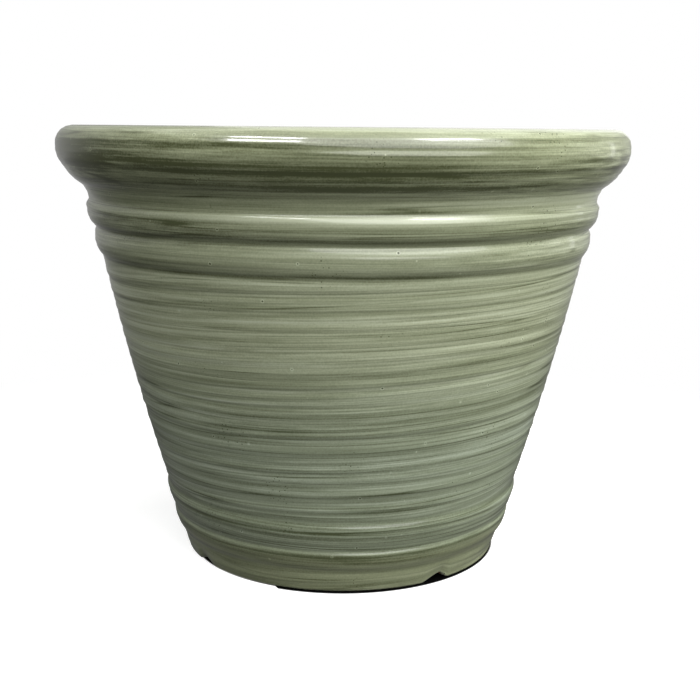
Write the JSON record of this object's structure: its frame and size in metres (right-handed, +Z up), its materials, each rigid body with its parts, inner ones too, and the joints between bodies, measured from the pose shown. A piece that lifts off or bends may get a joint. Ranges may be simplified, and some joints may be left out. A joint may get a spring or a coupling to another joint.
{
  "type": "plant pot",
  "caption": "Round tapered glazed planter with a heavy rolled rim, beads under the rim and above the foot, notched foot ring and a pull-out drain plug.",
  "frame": {"origin": "centre of the foot on the ground", "axes": "+Z up along the pot's axis of turning, -Y towards the front, +X to the viewer's right"},
  "size_m": [0.3799, 0.38, 0.288],
  "materials": {
    "pot": "sage-green brushed glaze, glossy",
    "drain_plug": "matt black moulded rubber"
  },
  "bodies": {
    "pot": {"pot": "pot"},
    "drain_plug": {"drain_plug": "drain_plug"}
  },
  "joints": [
    {"name": "drain_plug_pull", "type": "slide", "parent": "pot", "child": "drain_plug", "axis": [0, 0, 1], "range_m": [0, 0.3]}
  ]
}
